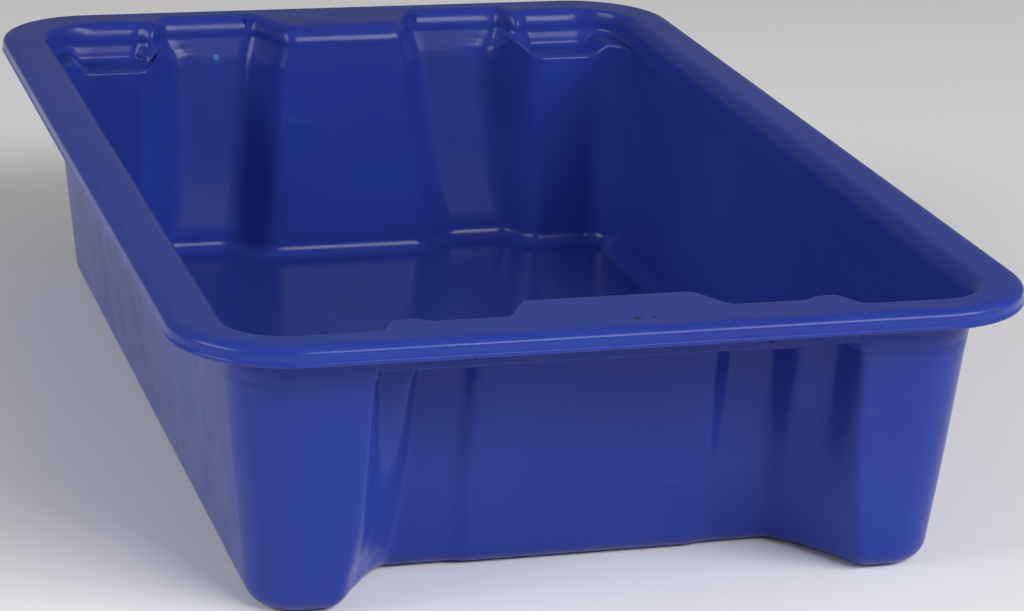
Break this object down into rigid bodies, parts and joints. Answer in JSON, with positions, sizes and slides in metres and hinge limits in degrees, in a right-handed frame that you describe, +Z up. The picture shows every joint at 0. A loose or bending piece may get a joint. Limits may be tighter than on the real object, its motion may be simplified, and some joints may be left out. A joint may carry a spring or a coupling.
{
  "type": "mortar tub",
  "caption": "Shallow stack-and-nest plastic tub with a rolled rim, drafted walls, open foot columns and ledged stacking pockets at both ends, for mixing and carrying mud or mortar.",
  "frame": {"origin": "middle of the rim's footprint, on the plane that the tub stands on", "axes": "+Z up, +Y along the length towards the end with corner stacking pockets, +X across the width"},
  "size_m": [0.413, 0.645, 0.142],
  "materials": {
    "blue_plastic": "smooth glossy injection-moulded polyethylene, royal blue"
  },
  "bodies": {
    "root": {"tub": "blue_plastic"}
  },
  "joints": []
}
